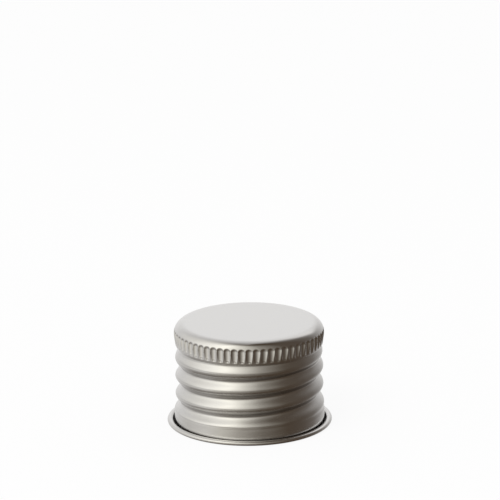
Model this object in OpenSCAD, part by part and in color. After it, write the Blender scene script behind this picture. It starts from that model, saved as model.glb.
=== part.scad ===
// Rolled aluminium screw cap for a 24 mm bottle neck, with its sealing liner.
// Millimetres, +Z up. The origin is the centre of the plane that the curled rim stands on.
// The front, where the thread's first groove leaves the grip band, faces -Y.
// The shell is drawn round its liner: every diameter is a step in or out from the grip band's.

/* [Cap] */
// Height over all
cap_h = 17.6; // [17.3:0.1:18.6]
// Thickness of the rolled sheet
wall = 0.22; // [0.2:0.01:0.24]
// Radius of the rounded top edge
edge_r = 1.85; // [1.7:0.05:1.95]

/* [Liner] */
// Diameter of the sealing liner, which the shell is drawn round
liner_d = 24.1; // [23.7:0.05:24.6]
// Thickness of the sealing liner
liner_t = 1.5; // [1.2:0.1:1.6]
// Clearance from the liner to the inside of the flutes
liner_gap = 0.12; // [0.1:0.01:0.2]

/* [Grip band] */
// Height of the grip band, from the top
band_h = 4.06; // [4:0.02:4.2]
// Loss of radius from the band's widest place down to its foot
band_taper = 0.22; // [0.1:0.02:0.24]
// Radius of the band's lower edge
band_foot_r = 0.5; // [0.44:0.01:0.54]
// Number of flutes round the band
flute_count = 64; // [48:1:66]
// Width of a flute at the band's widest place
flute_w = 1.1; // [0.96:0.02:1.12]
// Depth of a flute at the band's widest place
flute_depth = 0.36; // [0.32:0.01:0.38]
// Outward lean of a flute, in degrees, that makes it run out on the rounded top edge
flute_lean = 4.5; // [4:0.1:5]
// Distance from the top of the cap down to the end of a flute
flute_foot = 3.7; // [3.6:0.02:3.76]
// Length of the sloped run-out at a flute's lower end
flute_runout = 0.5; // [0.4:0.02:0.6]

/* [Thread] */
// Step in from the grip band to the plain neck under it
neck_in = 0.43; // [0.36:0.01:0.46]
// Step in from the grip band to the thread's ridges
ridge_in = 0.18; // [0.1:0.01:0.3]
// Depth of the thread's groove under its ridges
groove_depth = 0.95; // [0.7:0.05:1]
// Rise of the thread in one turn: 8 turns an inch
thread_pitch = 3.175; // [3:0.025:3.2]
// Distance from the top of the cap down to the second groove, at the front
groove_drop = 6.89; // [6.7:0.01:7.1]
// Distance over which the groove deepens below the neck
groove_runin = 3.6; // [2.4:0.1:4]
// Height above the rim's underside at which the groove has died out
groove_end = 2.2; // [2.1:0.1:2.6]

/* [Skirt and rim] */
// Step in from the grip band to the plain skirt under the thread
skirt_in = 0.15; // [0.06:0.01:0.24]
// Height of the plain skirt's top above the rim's underside
skirt_top = 1.3; // [1.2:0.05:1.4]
// Step out from the grip band to the curled rim
rim_out = 1.25; // [1.1:0.05:1.4]
// Thickness of the curl
curl_d = 0.78; // [0.74:0.02:0.86]
// Inside radius of the bend from skirt to rim
bend_r = 0.2; // [0.16:0.01:0.22]

/* [Hidden] */
$fn = 96;
aluminium = [0.80, 0.80, 0.79];
foam = [0.93, 0.93, 0.91];

// Grip band: the flute cutter is a leaning cylinder, the bump inside is its parallel
band_r = liner_d / 2 + liner_gap + wall + flute_depth;
band_low = band_r - band_taper;
flute_r = (flute_w * flute_w / 4 + flute_depth * flute_depth) / (2 * flute_depth);
flute_floor = band_r - flute_depth - (flute_foot - edge_r) * tan(flute_lean);
flute_c = flute_floor + flute_r / cos(flute_lean);
bump_r = flute_r + 0.02;
bump_c = flute_c - wall + 0.02;

// Thread: depths below the top, where the wave of the wall grows and where it dies
neck_end = band_h + 0.2;
neck_land = band_r - neck_in;
ridge_r = band_r - ridge_in;
skirt_r = band_r - skirt_in;
skirt_start = cap_h - skirt_top;
groove_fade = 1.2;
lap = 0.05;
seat = 0.04;
steps_round = 64;
steps_down = 38;

// Rim
curl_r = curl_d / 2;
curl_c = band_r + rim_out - curl_r;

// Liner: its top edge is rounded like the inside of the shell's
liner_edge = edge_r - wall;

// ---- Grip band and top ----

// Half section of the closed top and the band, set in by o from the outside
module band_section(o) {
    translate([0, cap_h - edge_r]) square([band_r - edge_r, edge_r - o]);
    translate([band_r - edge_r, cap_h - edge_r]) intersection() {
        circle(edge_r - o);
        square(edge_r);
    }
    translate([0, cap_h - band_h]) polygon([
        [0, band_foot_r], [band_low - o, band_foot_r],
        [band_r - o, band_h - edge_r], [0, band_h - edge_r]
    ]);
    translate([band_low - band_foot_r, cap_h - band_h + band_foot_r]) intersection() {
        circle(band_foot_r - o);
        translate([0, -band_foot_r]) square(band_foot_r);
    }
    translate([0, cap_h - band_h + o]) square([band_low - band_foot_r, band_foot_r - o]);
}

// A ring of leaning cylinders, each with a cone for its run-out
module flute_ring(r, c, foot) {
    for (i = [0 : flute_count - 1])
        rotate([0, 0, i * 360 / flute_count])
            translate([0, -c, cap_h - foot])
                rotate([flute_lean, 0, 0]) {
                    cylinder(r1 = r - flute_depth, r2 = r, h = flute_runout, $fn = 24);
                    translate([0, 0, flute_runout]) cylinder(r = r, h = foot + 0.6, $fn = 24);
                }
}

module band_outside() {
    rotate_extrude() {
        band_section(0);
        translate([0, cap_h - neck_end]) square([neck_land, neck_end - band_h + band_foot_r]);
    }
}

module band_inside() {
    rotate_extrude() {
        band_section(wall);
        translate([0, cap_h - neck_end - 0.2]) square([neck_land - wall, neck_end + 0.2 - band_h + band_foot_r]);
    }
}

module top_and_band() {
    difference() {
        band_outside();
        flute_ring(flute_r, flute_c, flute_foot);
        difference() {
            band_inside();
            flute_ring(bump_r, bump_c, flute_foot + wall / 2);
        }
    }
}

// ---- Threaded wall ----

function ease(x) = let (t = max(0, min(1, x))) t * t * (3 - 2 * t);

// Radius of the ridges at a depth d below the top
function ridge_at(d) =
    neck_land + (ridge_r - neck_land) * ease((d - neck_end - 0.3) / 1.7)
    + (skirt_r - ridge_r) * ease((d - skirt_start + 3.2) / 1.6);

// Depth of the groove under the ridges at a depth d below the top
function dip_at(d) =
    groove_depth * ease((d - neck_end) / groove_runin) * ease((cap_h - groove_end - d) / groove_fade);

// Outside radius of the wall at an angle a and a depth d; the helix is right-handed
function wave_at(a, d) =
    ridge_at(d) - dip_at(d) * (1 + cos(360 * (d - groove_drop) / thread_pitch + a + 90)) / 2;

// The sheet lies on the slope of the wave, so its radial thickness grows there
function sheet_at(a, d) =
    let (s = (wave_at(a, d + 0.05) - wave_at(a, d - 0.05)) / 0.1) wall * sqrt(1 + s * s);

// 0 where the threaded wall seats on the plain rings at its ends, 1 away from them
function inland(d) = ease((d - neck_end - lap) / 0.5) * ease((skirt_start - lap - d) / 0.5);

module threaded_wall() {
    n = steps_round;
    m = steps_down;
    top = neck_end - lap;
    low = skirt_start + lap;
    depths = [for (j = [0 : m])
        j == 0 ? low : j == m ? top : skirt_start - lap - (skirt_start - neck_end - 2 * lap) * (j - 1) / (m - 2)];
    outer = [for (d = depths) for (i = [0 : n - 1])
        let (a = i * 360 / n, r = wave_at(a, d) + 0.007 - seat * (1 - inland(d)))
            [r * cos(a), r * sin(a), cap_h - d]];
    inner = [for (d = depths) for (i = [0 : n - 1])
        let (a = i * 360 / n, r = (wave_at(a, d) - sheet_at(a, d) + 0.001) / cos(180 / n))
            [r * cos(a), r * sin(a), cap_h - d]];
    k = (m + 1) * n;
    sides = [for (j = [0 : m - 1]) for (i = [0 : n - 1])
        let (h = (i + 1) % n, p = j * n + i, q = j * n + h, u = p + n, v = q + n)
            each [[p, u, v], [p, v, q], [k + p, k + q, k + v], [k + p, k + v, k + u]]];
    ends = [for (i = [0 : n - 1])
        let (h = (i + 1) % n, p = m * n + i, q = m * n + h)
            each [[i, h, k + h], [i, k + h, k + i], [p, k + p, k + q], [p, k + q, q]]];
    polyhedron(points = concat(outer, inner), faces = concat(sides, ends), convexity = 10);
}

// ---- Plain skirt and curled rim ----

module rim() {
    rotate_extrude() {
        translate([skirt_r - wall, bend_r + wall]) square([wall, skirt_top - bend_r - wall]);
        translate([skirt_r + bend_r, bend_r + wall]) difference() {
            circle(bend_r + wall);
            circle(bend_r);
            translate([-2, 0]) square([4, 2]);
            translate([0, -2]) square([2, 4]);
        }
        translate([skirt_r + bend_r, 0]) square([curl_c - skirt_r - bend_r, wall]);
        translate([curl_c, curl_r]) difference() {
            circle(curl_r);
            circle(curl_r - wall);
            translate([-2, -2]) square(2);
        }
    }
}

module shell() {
    color(aluminium) union() {
        top_and_band();
        threaded_wall();
        rim();
    }
}

// ---- Sealing liner, face to face with the underside of the top ----

module liner() {
    color(foam) translate([0, 0, cap_h - edge_r]) rotate_extrude() intersection() {
        union() {
            square([liner_d / 2 - liner_edge, liner_edge]);
            translate([liner_d / 2 - liner_edge, 0]) circle(liner_edge);
        }
        translate([0, liner_edge - liner_t]) square([liner_d / 2, liner_t]);
    }
}

shell();
liner();
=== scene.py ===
import math
import bpy
import numpy as np
from mathutils import Matrix, Vector


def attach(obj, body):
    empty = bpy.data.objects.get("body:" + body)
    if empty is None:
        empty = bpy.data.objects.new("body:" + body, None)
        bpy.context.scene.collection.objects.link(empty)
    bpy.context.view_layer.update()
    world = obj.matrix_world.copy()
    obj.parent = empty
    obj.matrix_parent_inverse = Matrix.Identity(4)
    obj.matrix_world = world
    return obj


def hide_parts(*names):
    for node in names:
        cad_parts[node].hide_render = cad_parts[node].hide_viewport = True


mm = 0.001

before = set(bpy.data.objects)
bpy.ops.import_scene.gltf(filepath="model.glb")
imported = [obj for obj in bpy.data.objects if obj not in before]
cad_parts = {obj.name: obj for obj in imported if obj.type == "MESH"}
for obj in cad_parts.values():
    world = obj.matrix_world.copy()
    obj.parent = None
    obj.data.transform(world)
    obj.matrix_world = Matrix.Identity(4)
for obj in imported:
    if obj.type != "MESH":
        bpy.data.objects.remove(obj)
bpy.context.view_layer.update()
print("frame loaded:", sorted(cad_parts))


class Socket:
    # a node socket that can be used in ordinary arithmetic

    def __init__(self, tree, link):
        self.tree = tree
        self.link = link

    def math(self, operation, *others):
        values = [self] + list(others)
        return self.tree.node("ShaderNodeMath", {"operation": operation}, dict(enumerate(values)))

    def __add__(self, other):
        return self.math("ADD", other)

    def __radd__(self, other):
        return self.math("ADD", other)

    def __sub__(self, other):
        return self.math("SUBTRACT", other)

    def __rsub__(self, other):
        return self.tree.node("ShaderNodeMath", {"operation": "SUBTRACT"}, {0: other, 1: self})

    def __mul__(self, other):
        return self.math("MULTIPLY", other)

    def __rmul__(self, other):
        return self.math("MULTIPLY", other)

    def __truediv__(self, other):
        return self.math("DIVIDE", other)

    def __pow__(self, other):
        return self.math("POWER", other)

    def smooth(self, low, high):
        # eases from 0 at low to 1 at high
        return self.tree.node("ShaderNodeMapRange", {"interpolation_type": "SMOOTHSTEP"},
                              {"Value": self, "From Min": low, "From Max": high})


class Tree:
    # builds the nodes of one material or of the world

    def __init__(self, owner):
        owner.use_nodes = True
        self.nodes = owner.node_tree.nodes
        self.links = owner.node_tree.links
        self.nodes.clear()

    def node(self, kind, settings=None, inputs=None, output=0):
        # output is the name or number of one output, or a list of them
        made = self.nodes.new(kind)
        for name, value in (settings or {}).items():
            if name == "stops":
                self.setStops(made.color_ramp, value)
            else:
                setattr(made, name, value)
        for name, value in (inputs or {}).items():
            socket = made.inputs[name]
            if isinstance(value, Socket):
                self.links.new(value.link, socket)
            elif socket.type == "RGBA":
                socket.default_value = (*value, 1)
            else:
                socket.default_value = value
        if isinstance(output, list):
            return [Socket(self, made.outputs[name]) for name in output]
        return Socket(self, made.outputs[output]) if len(made.outputs) else None

    def setStops(self, ramp, stops):
        while len(ramp.elements) < len(stops):
            ramp.elements.new(0.5)
        for element, (place, colour) in zip(ramp.elements, stops):
            element.position = place
            element.color = (*colour, 1)

    def mix(self, factor, first, second):
        # sockets 6, 7 and 2 are the two colours and the result
        return self.node("ShaderNodeMix", {"data_type": "RGBA"}, {0: factor, 6: first, 7: second}, output=2)


# sizes are in millimetres, and a depth is measured down from the top of the cap
cap = {
    "height": 17.6,
    "wall": 0.22,
    "edgeRadius": 1.85,     # of the rounded top edge
}


def ease(x):
    t = np.clip(x, 0, 1)
    return t * t * (3 - 2 * t)


def softMin(a, b, k):
    # the smaller of two radii, with the corner between them rounded
    h = np.clip(0.5 + 0.5 * (b - a) / k, 0, 1)
    return b + (a - b) * h - k * h * (1 - h)


gripBand = {
    "radius": 12.75,
    "taper": 0.22,          # loss of radius down to the band's foot
    "height": 4.06,
    "footRadius": 0.5,
    "footTurn": 70,         # how far its lower edge curls in to meet the neck, in degrees
    "fluteCount": 64,
    "fluteWidth": 1.1,
    "fluteDepth": 0.24,
    "fluteFloor": 12.42,    # radius of a flute's floor
    "fluteFoot": 3.7,       # depth at which a flute ends
    "fluteRunout": 0.5,     # length of the rounded run-out above that
    "archTop": 0.92,        # depth of the rounded upper end of a flute
    "archRadius": 0.6,
    "softness": 0.02,       # how rounded the ridges between flutes are
    "uncut": 99.0,          # a radius that stands for no flute at all
    "samplesPerFlute": 14,
    "edgeCrowding": 0.11,   # more than 0 sets the samples closer at a flute's edges
    "topRings": (0.25, 0.5, 0.75, 0.95),    # rings on the flat top, as shares of its radius
    "cornerPower": 0.9,     # below 1 the rows on the rounded edge start wider apart
    "rowsOutside": (22, 10, 8),             # rows on the rounded edge, the side and the foot
    "rowsInside": (9, 6, 4),
}


def fluteAngles(samples):
    # steps round the cap from its front, closer near a flute's edges than in its middle
    b = gripBand
    step = 2 * math.pi / b["fluteCount"]
    u = (np.arange(samples) + 0.5) / samples * 2 - 1
    u = u + b["edgeCrowding"] * np.sin(u * math.pi)
    return np.concatenate([-math.pi / 2 + step * (i + 0.5 * u) for i in range(b["fluteCount"])])


def fluteRadius(angles, depth, inset):
    # near side of a flute's round cutter at one depth, or of its parallel inside the wall
    b = gripBand
    step = 2 * math.pi / b["fluteCount"]
    off = (angles + math.pi / 2 + step / 2) % step - step / 2
    foot = b["fluteFoot"] + inset / 2
    if depth > foot:
        return np.full_like(angles, b["uncut"])
    cutter = (b["fluteWidth"] ** 2 / 4 + b["fluteDepth"] ** 2) / (2 * b["fluteDepth"])
    centre = b["fluteFloor"] - inset + cutter
    runout = max(0, (depth - foot + b["fluteRunout"]) / b["fluteRunout"])
    lift = b["fluteDepth"] * (1 - math.sqrt(max(0, 1 - runout * runout)))
    up = min(max(0, b["archTop"] + b["archRadius"] - inset - depth), b["archRadius"])
    lift += b["archRadius"] - math.sqrt(b["archRadius"] ** 2 - up * up)
    r = cutter - lift
    if r <= 0:
        return np.full_like(angles, b["uncut"])
    middle = centre * np.cos(off)
    reach = r * r - (centre * np.sin(off)) ** 2
    return np.where(reach > 0, middle - np.sqrt(np.maximum(reach, 0)), middle)


def bandProfile(inset, rows):
    # points (radius, depth, fluted) down the outside or the inside of top and band
    b = gripBand
    edgeRows, sideRows, footRows = rows
    flat = b["radius"] - cap["edgeRadius"]
    edge = cap["edgeRadius"] - inset
    points = [(share * flat, inset, False) for share in b["topRings"]]
    for i in range(edgeRows + 1):
        a = math.pi / 2 * (i / edgeRows) ** b["cornerPower"]
        points.append((flat + edge * math.sin(a), cap["edgeRadius"] - edge * math.cos(a), True))
    footStart = b["height"] - b["footRadius"]
    for t in np.linspace(0, 1, sideRows + 1)[1:]:
        depth = cap["edgeRadius"] + (footStart - cap["edgeRadius"]) * t
        points.append((b["radius"] - b["taper"] * t - inset, depth, True))
    low = b["radius"] - b["taper"] - b["footRadius"]
    foot = b["footRadius"] - inset
    for i in range(1, footRows + 1):
        a = math.radians(b["footTurn"]) * i / footRows
        points.append((low + foot * math.cos(a), footStart + foot * math.sin(a), True))
    return points


screwThread = {
    "neckRadius": 12.36,
    "ridgeRadius": 12.57,
    "ridgeStart": 0.2,      # distance below the band at which the ridges begin to rise
    "ridgeRise": 1.4,
    "skirtBlend": (3.2, 1.6),   # ridges pass into the skirt from 3.2 above its top, over 1.6
    "pitch": 3.175,
    "grooveDepth": 0.95,
    "grooveDrop": 6.89,     # depth of the second groove at the front
    "grooveStart": 1.1,     # distance below the band at which the groove begins to deepen
    "grooveFirst": 0.42,    # share of the groove's depth that it has at the neck
    "grooveRunin": 2.6,
    "grooveEnd": 2.2,       # height above the rim's underside at which the groove has gone
    "grooveFade": 1.2,
    "sharpness": 1.6,       # 2 is a plain wave, less has a sharper bottom
    "lateStart": 0.28,      # how far the first groove is pushed down by the band above it
    "lateEnd": 6.3,         # depth at which that push has gone
    "lateFade": 2,
    "wobble": 0.012,        # how uneven the rolled wall is
    "wobbleWaves": ((5, 1.3, 0, 1), (11, -2.1, 1, 0.6), (23, 3.4, 2, 0.4)),  # round, down, start, share
    "wobbleMargin": 0.3,    # even stretch under the band
    "wobbleFade": 1.5,
    "slopeStep": 0.05,      # half of the stretch over which the wall's slope is measured
    "topRow": 0.03,         # distance of the uppermost row below the band
    "rowsOutside": 96,
    "rowsInside": 46,
    "samplesRound": 224,
}


def roundAngles(count):
    # even steps round the cap, from its front
    return -math.pi / 2 + 2 * math.pi * (np.arange(count) + 0.5) / count


def skirtStart():
    # depth at which the thread ends and the plain skirt begins
    return cap["height"] - rim["skirtTop"]


def ridgeAt(depth):
    # radius of the ridges, out from the neck and on to the plain skirt
    t = screwThread
    above, length = t["skirtBlend"]
    rise = ease((depth - gripBand["height"] - t["ridgeStart"]) / t["ridgeRise"])
    blend = ease((depth - skirtStart() + above) / length)
    return (t["neckRadius"] + (t["ridgeRadius"] - t["neckRadius"]) * rise
            + (rim["skirtRadius"] - t["ridgeRadius"]) * blend)


def dipAt(depth):
    # depth of the groove under the ridges
    t = screwThread
    start = gripBand["height"] + t["grooveStart"]
    end = cap["height"] - t["grooveEnd"]
    share = t["grooveFirst"] + (1 - t["grooveFirst"]) * ease((depth - start) / t["grooveRunin"])
    return t["grooveDepth"] * share * ease((end - depth) / t["grooveFade"])


def unevenness(angles, depth):
    # slow waves that a rolled wall is left with, none at its ends
    t = screwThread
    start = gripBand["height"] + t["wobbleMargin"]
    ends = ease((depth - start) / t["wobbleFade"]) * ease((skirtStart() - depth) / t["wobbleFade"])
    waves = sum(share * np.sin(turns * angles + down * depth + shift)
                for turns, down, shift, share in t["wobbleWaves"])
    return t["wobble"] * ends * waves / 2


def waveAt(angles, depth):
    # outside radius of the threaded wall
    t = screwThread
    pushed = depth - t["lateStart"] * ease((t["lateEnd"] - depth) / t["lateFade"])
    turns = (pushed - t["grooveDrop"]) / t["pitch"] + (angles + math.pi / 2) / (2 * math.pi)
    wave = 1 - np.abs(np.sin(math.pi * turns)) ** t["sharpness"]
    return ridgeAt(depth) - dipAt(depth) * wave + unevenness(angles, depth)


def insideWaveAt(angles, depth):
    # the sheet lies on the slope of the wave, so it is thicker there along the radius
    step = screwThread["slopeStep"]
    slope = (waveAt(angles, depth + step) - waveAt(angles, depth - step)) / (2 * step)
    return waveAt(angles, depth) - cap["wall"] * np.sqrt(1 + slope * slope)


rim = {
    "skirtRadius": 12.76,
    "skirtTop": 1.3,        # height of the plain skirt's top
    "skirtRow": 0.85,       # height of a row of points on the plain skirt
    "outerRadius": 14.0,
    "curlHeight": 0.39,     # half of the curl's height
    "curlWidth": 0.49,      # half of its width: it is rolled close to the skirt
    "bendRadius": 0.2,
    "bendSteps": (5, 6),    # steps on the bend's upper and lower side
    "curlSteps": (12, 24),  # steps inside the hollow curl and outside it
}


def arc(centreR, centreZ, width, height, start, end, count):
    # points on an oval in the section, from its half width and half height, angles in degrees
    angles = [math.radians(start + (end - start) * i / count) for i in range(count + 1)]
    return [(centreR + width * math.cos(a), centreZ + height * math.sin(a)) for a in angles]


def rimProfile():
    # points (radius, height) from the skirt out, in and round the hollow curl, and back inside
    skirt = rim["skirtRadius"]
    bend = rim["bendRadius"]
    wide = rim["curlWidth"]
    high = rim["curlHeight"]
    wall = cap["wall"]
    bendAt = (skirt + bend, bend + wall)
    curlAt = (rim["outerRadius"] - wide, high)
    upper, lower = rim["bendSteps"]
    hollow, outside = rim["curlSteps"]
    return [
        (skirt, rim["skirtRow"]),
        *arc(*bendAt, bend, bend, 180, 270, upper),
        *arc(*curlAt, wide - wall, high - wall, -90, 180, hollow),
        *arc(*curlAt, wide, high, 180, -90, outside),
        *arc(*bendAt, bend + wall, bend + wall, 270, 180, lower),
        (skirt - wall, rim["skirtRow"]),
    ]


def joinRings(first, firstCount, second, secondCount):
    # the faces between two rings of points, one of which may have a few times as many
    count = min(firstCount, secondCount)
    a, c = firstCount // count, secondCount // count
    faces = []
    for i in range(count):
        p = [first + (i * a + k) % firstCount for k in range(a + 1)]
        q = [second + (i * c + k) % secondCount for k in range(c + 1)]
        if a == c:
            faces.append((p[0], q[0], q[1], p[1]))
        elif a > c:
            faces += [(p[k], q[0], p[k + 1]) for k in range(a)]
            faces.append((q[0], q[1], p[a]))
        else:
            faces += [(p[0], q[k], q[k + 1]) for k in range(c)]
            faces.append((p[0], q[c], p[1]))
    return faces


def shellRings():
    # rings of points (angles, radii, height) down the outside, round the rim and up the inside
    b = gripBand
    t = screwThread
    top = cap["height"]
    wall = cap["wall"]
    threadTop = b["height"] + t["topRow"]
    fine = fluteAngles(b["samplesPerFlute"])
    medium = fluteAngles(b["samplesPerFlute"] // 2)
    coarse = roundAngles(t["samplesRound"])
    rings = []

    def fluted(angles, inset, points):
        for radius, depth, cut in points:
            r = np.full_like(angles, radius)
            if cut:
                r = softMin(r, fluteRadius(angles, depth, inset), b["softness"])
            rings.append((angles, r, top - depth))

    def plain(points):
        for radius, z in points:
            rings.append((coarse, np.full_like(coarse, radius), z))

    def threaded(radiusAt, start, end, rows):
        for depth in np.linspace(start, end, rows):
            rings.append((coarse, radiusAt(coarse, depth), top - depth))

    fluted(fine, 0, bandProfile(0, b["rowsOutside"]))
    threaded(waveAt, threadTop, skirtStart(), t["rowsOutside"])
    plain(rimProfile())
    threaded(insideWaveAt, skirtStart(), threadTop, t["rowsInside"])
    plain([(t["neckRadius"] - wall, top - b["height"] + wall)])
    fluted(medium, wall, reversed(bandProfile(wall, b["rowsInside"])))
    return rings


def buildShell():
    # one closed skin: the rings in order, with a fan of faces at each end
    verts = [(0, 0, cap["height"])]
    starts = []
    for angles, radii, z in shellRings():
        starts.append((len(verts), len(angles)))
        verts += list(zip(radii * np.cos(angles), radii * np.sin(angles), np.full_like(radii, z)))
    verts.append((0, 0, cap["height"] - cap["wall"]))
    first, count = starts[0]
    faces = [(0, first + i, first + (i + 1) % count) for i in range(count)]
    for ring, nextRing in zip(starts, starts[1:]):
        faces += joinRings(*ring, *nextRing)
    last, count = starts[-1]
    faces += [(len(verts) - 1, last + (i + 1) % count, last + i) for i in range(count)]
    mesh = bpy.data.meshes.new("shellSkin")
    mesh.from_pydata([tuple(c * mm for c in v) for v in verts], [], faces)
    mesh.validate()
    mesh.polygons.foreach_set("use_smooth", [True] * len(mesh.polygons))
    mesh.update()
    skin = bpy.data.objects.new("shellSkin", mesh)
    bpy.context.scene.collection.objects.link(skin)
    return skin


aluminiumLook = {
    "colour": (0.80, 0.796, 0.79),
    "colourSpread": 0.03,   # how far the mottling goes to either side of the colour
    "roughness": 0.2,
    "roughnessSpread": 0.05,
    "mottleScale": 900.0,   # about the number of blotches to the metre
    "mottleDetail": 3.0,
    "grainScale": 8100.0,
    "grainDetail": 2.0,
    "grainRelief": 0.02,
    "grainDepth": 0.0001,   # in metres
    # radii and heights are in millimetres, from 0 to full effect or from full effect to 0
    "burnished": 0.12,      # less roughness where the knurling wheel pressed the band
    "burnishedHeight": (13.4, 13.7),
    "burnishedRadius": (11.6, 12.0),
    # painted shade: the dark colour that the undersides of the ridges, down in the groove, are mixed
    # towards
    "underPaintedShade": (0.13, 0.112, 0.10),
    "underShadeShare": 0.55,      # how much painted shade darkens the undersides of the ridges, down in the groove
    "underFacing": (-0.6, -0.15),       # how far the surface faces down, -1 is straight down
    "underRadius": (12.1, 12.45),
    # painted shade: the near-black colour mixed into the narrow trough between skirt and curl
    "troughPaintedShade": (0.05, 0.042, 0.036),
    "troughSkirt": (12.68, 12.74),      # the trough between skirt and curl begins
    "troughCurl": (13.06, 13.18),       # and ends
    "troughFloor": (0.02, 0.08),        # the rim's underside gets no painted shade
    "troughEdge": (0.05, 0.32),         # its upper edge, over a line that rises outwards
    "troughLine": (12.7, 1.3),          # start and slope of that line
    "troughFull": (12.74, 12.84),       # full painted shade beyond the skirt's own face
    # share of the painted shade that the skirt's own face gets
    "troughOnSkirt": 0.62,
}


def satinAluminium():
    look = aluminiumLook
    material = bpy.data.materials.new("satinAluminium")
    tree = Tree(material)
    place, normal = tree.node("ShaderNodeTexCoord", output=["Object", "Normal"])
    mottle = tree.node("ShaderNodeTexNoise", {}, {
        "Vector": place, "Scale": look["mottleScale"], "Detail": look["mottleDetail"]})
    grain = tree.node("ShaderNodeTexNoise", {}, {
        "Vector": place, "Scale": look["grainScale"], "Detail": look["grainDetail"]})
    x, y, z = [part / mm for part in tree.node("ShaderNodeSeparateXYZ", {}, {0: place}, output=[0, 1, 2])]
    facing = tree.node("ShaderNodeSeparateXYZ", {}, {0: normal}, output=2)
    radius = (x * x + y * y) ** 0.5
    knurled = z.smooth(*look["burnishedHeight"]) * radius.smooth(*look["burnishedRadius"])
    rough = look["roughness"] + (mottle - 0.5) * (2 * look["roughnessSpread"]) - knurled * look["burnished"]
    # painted shade: surfaces that face down, under the ridges in the groove, are darkened
    under = (1 - facing.smooth(*look["underFacing"])) * (1 - radius.smooth(*look["underRadius"]))
    # painted shade: the trough between skirt and curl is darkened, but not the rim's underside
    start, slope = look["troughLine"]
    trough = radius.smooth(*look["troughSkirt"]) * (1 - radius.smooth(*look["troughCurl"]))
    trough = trough * (1 - (z - (radius - start) * slope).smooth(*look["troughEdge"]))
    onSkirt = look["troughOnSkirt"]
    deep = onSkirt + (1 - onSkirt) * radius.smooth(*look["troughFull"])
    trough = trough * z.smooth(*look["troughFloor"]) * deep
    darker = tuple(c * (1 - look["colourSpread"]) for c in look["colour"])
    paler = tuple(min(1, c * (1 + look["colourSpread"])) for c in look["colour"])
    colour = tree.mix(mottle, darker, paler)
    # the mottled colour takes the painted shade under the ridges and in the trough
    colour = tree.mix(under * look["underShadeShare"], colour, look["underPaintedShade"])
    colour = tree.mix(trough, colour, look["troughPaintedShade"])
    relief = tree.node("ShaderNodeBump", {}, {
        "Strength": look["grainRelief"], "Distance": look["grainDepth"], "Height": grain})
    surface = tree.node("ShaderNodeBsdfPrincipled", {}, {
        "Base Color": colour, "Metallic": 1.0, "Roughness": rough, "Normal": relief})
    tree.node("ShaderNodeOutputMaterial", {}, {"Surface": surface})
    return material


foamLook = {
    "colour": (0.90, 0.90, 0.88),
    "cellShade": 0.93,      # share of the colour that the walls between its cells keep
    "cellScale": 2600.0,    # about the number of cells to the metre
    "relief": 0.25,
    "reliefDepth": 0.0001,  # in metres
    "roughness": 0.72,
}


def linerFoam():
    look = foamLook
    material = bpy.data.materials.new("linerFoam")
    tree = Tree(material)
    place = tree.node("ShaderNodeTexCoord", output="Object")
    cells = tree.node("ShaderNodeTexVoronoi", {}, {"Vector": place, "Scale": look["cellScale"]})
    colour = tree.mix(cells, look["colour"], tuple(c * look["cellShade"] for c in look["colour"]))
    relief = tree.node("ShaderNodeBump", {}, {
        "Strength": look["relief"], "Distance": look["reliefDepth"], "Height": cells})
    surface = tree.node("ShaderNodeBsdfPrincipled", {}, {
        "Base Color": colour, "Roughness": look["roughness"], "Normal": relief})
    tree.node("ShaderNodeOutputMaterial", {}, {"Surface": surface})
    return material


view = {
    "elevation": 17.9,
    "roll": 0.55,
    "distance": 640.0,      # from the cap's middle, in millimetres
    "mmPerPixel": 0.17,     # at that distance
    "framePixels": 500,
    "centrePixel": (248.8, 370.9),
    "centreDepth": 8.91,    # of the aimed point below the top
    "sensorWidth": 36,
    "farthest": 10,         # in metres
}


def placeCamera():
    v = view
    data = bpy.data.cameras.new("studioCamera")
    data.sensor_fit = "HORIZONTAL"
    data.sensor_width = v["sensorWidth"]
    data.lens = v["sensorWidth"] * v["distance"] / (v["framePixels"] * v["mmPerPixel"])
    data.clip_end = v["farthest"]
    camera = bpy.data.objects.new("studioCamera", data)
    bpy.context.scene.collection.objects.link(camera)
    e = math.radians(v["elevation"])
    target = Vector((0, 0, cap["height"] - v["centreDepth"])) * mm
    away = Vector((0, -math.cos(e), math.sin(e))) * v["distance"] * mm
    turn = (-away).to_track_quat("-Z", "Y").to_matrix().to_4x4()
    roll = Matrix.Rotation(math.radians(-v["roll"]), 4, "Z")
    right, down = [math.atan((pixel + 0.5 - v["framePixels"] / 2) * v["mmPerPixel"] / v["distance"])
                   for pixel in v["centrePixel"]]
    aim = Matrix.Rotation(right, 4, "Y") @ Matrix.Rotation(down, 4, "X")
    camera.matrix_world = Matrix.Translation(target + away) @ turn @ roll @ aim
    bpy.context.scene.camera = camera


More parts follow.
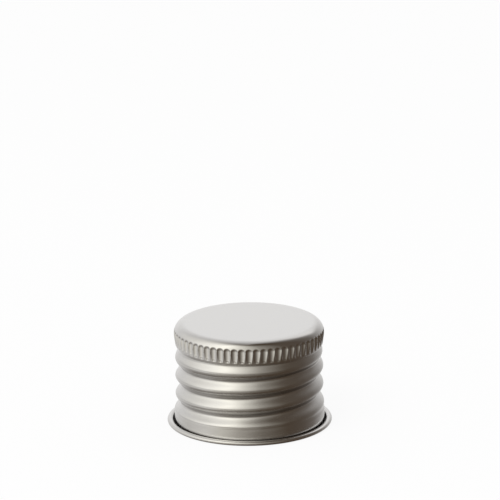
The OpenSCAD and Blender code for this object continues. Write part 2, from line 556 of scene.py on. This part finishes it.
studio = {
    # levels by compass angle in degrees: 0 comes from the camera's side, 90 from the right
    "softboxAround": {-180: 0.0, -144: 0.05, -108: 0.42, -72: 0.72, -45: 1.20, -20: 0.80, 0: 0.50,
                      18: 0.25, 36: 0.14, 60: 0.03, 90: 0.0, 180: 0.0},
    "backdropAround": {-180: 0.88, -144: 0.64, -108: 0.36, -72: 0.36, -45: 0.02, -20: 0.0, 60: 0.0,
                       90: 0.03, 115: 0.10, 144: 0.42, 180: 0.88},
    "windowAround": {-180: 0.0, 128: 0.0, 145: 0.40, 165: 0.25, 180: 0.0},
    # shares of the same light by height above the floor's horizon, in degrees
    "softboxHeight": {-60: 0.05, -45: 0.30, -33: 0.12, -23: 0.26, -14: 0.64, -4: 0.10, 8: 0.66, 22: 0.94,
                      52: 1.04, 66: 0.84, 80: 0.15},
    "backdropHeight": {-80: 0.15, -45: 0.20, -33: 0.66, -20: 0.88, 5: 1.0, 25: 0.90, 60: 0.68, 80: 0.38},
    "windowHeight": {-90: 0.0, 22: 0.0, 33: 1.0, 46: 0.90, 58: 0.0},
    "softboxColour": (1.0, 0.985, 0.90),
    "backdropColour": (0.975, 0.99, 1.0),
    "windowColour": (1.0, 0.99, 0.97),
    "darkRoom": (0.064, 0.045, 0.030),
    "plainLight": (0.8, 0.8, 0.8),      # what matt surfaces get
    "white": (1.0, 1.0, 1.0),
}


def studioWorld():
    s = studio
    world = bpy.data.worlds.new("softStudio")
    bpy.context.scene.world = world
    tree = Tree(world)
    way = tree.node("ShaderNodeTexCoord", output="Generated")
    x, y, z = tree.node("ShaderNodeSeparateXYZ", {}, {0: way}, output=[0, 1, 2])
    around = x.math("ARCTAN2", y * -1) / (2 * math.pi) + 0.5
    height = z.math("ARCSINE") / math.pi + 0.5

    def levels(place, stops, whole):
        # a curve through a few levels up to 2, at angles out of the whole range in degrees
        scaled = [(angle / whole + 0.5, (level / 2,) * 3) for angle, level in stops.items()]
        return tree.node("ShaderNodeValToRGB", {"stops": scaled}, {"Fac": place}) * 2

    lit = s["darkRoom"]
    for source in ("softbox", "backdrop", "window"):
        level = levels(around, s[source + "Around"], 360) * levels(height, s[source + "Height"], 180)
        glow = tree.node("ShaderNodeVectorMath", {"operation": "SCALE"}, {
            0: s[source + "Colour"], "Scale": level})
        lit = tree.node("ShaderNodeVectorMath", {"operation": "ADD"}, {0: glow, 1: lit})
    isCamera, isDiffuse, isTransmission = tree.node("ShaderNodeLightPath", output=[
        "Is Camera Ray", "Is Diffuse Ray", "Is Transmission Ray"])
    lit = tree.mix(isDiffuse, lit, s["plainLight"])
    lit = tree.mix(isCamera.math("MAXIMUM", isTransmission), lit, s["white"])
    glow = tree.node("ShaderNodeBackground", {}, {"Color": lit, "Strength": 1.0})
    tree.node("ShaderNodeOutputWorld", {}, {"Surface": glow})


paleFloor = {
    "size": 1.2,            # in metres
    "gap": 0.02,            # in millimetres, under the rim
    "colour": (0.9, 0.9, 0.9),
    "white": (1.0, 1.0, 1.0),
    "whiteShare": 0.9,      # the rest keeps the cap's shadow
}


def layFloor():
    f = paleFloor
    bpy.ops.mesh.primitive_plane_add(size=f["size"], location=(0, 0, -f["gap"] * mm))
    floor = bpy.context.object
    floor.name = "studioFloor"
    material = bpy.data.materials.new("paleFloor")
    tree = Tree(material)
    isCamera = tree.node("ShaderNodeLightPath", output="Is Camera Ray")
    matt = tree.node("ShaderNodeBsdfDiffuse", {}, {"Color": f["colour"]})
    white = tree.node("ShaderNodeEmission", {}, {"Color": f["white"], "Strength": 1.0})
    both = tree.node("ShaderNodeMixShader", {}, {0: isCamera * f["whiteShare"], 1: matt, 2: white})
    tree.node("ShaderNodeOutputMaterial", {}, {"Surface": both})
    floor.data.materials.append(material)
    floor.visible_glossy = False    # the metal shows the studio and not the floor


softKey = {
    "size": 0.5,            # across, in metres, as its place is
    "energy": 2.0,
    "place": (-0.35, -0.45, 0.6),
}


def hangLamp():
    lamp = bpy.data.lights.new("softKey", "AREA")
    lamp.shape = "DISK"
    lamp.size = softKey["size"]
    lamp.energy = softKey["energy"]
    key = bpy.data.objects.new("softKey", lamp)
    key.location = softKey["place"]
    key.rotation_euler = (-Vector(key.location)).to_track_quat("-Z", "Y").to_euler()
    key.visible_glossy = False
    bpy.context.scene.collection.objects.link(key)


bpy.context.scene.view_settings.view_transform = "Standard"
placeCamera()
studioWorld()
layFloor()
hangLamp()
print("studio set")

skin = buildShell()
skin.data.materials.append(satinAluminium())
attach(skin, "root")
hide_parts("shell")
print("shell built:", len(skin.data.polygons), "faces")

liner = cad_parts["liner"]
liner.data.materials.clear()
liner.data.materials.append(linerFoam())
print("liner finished")
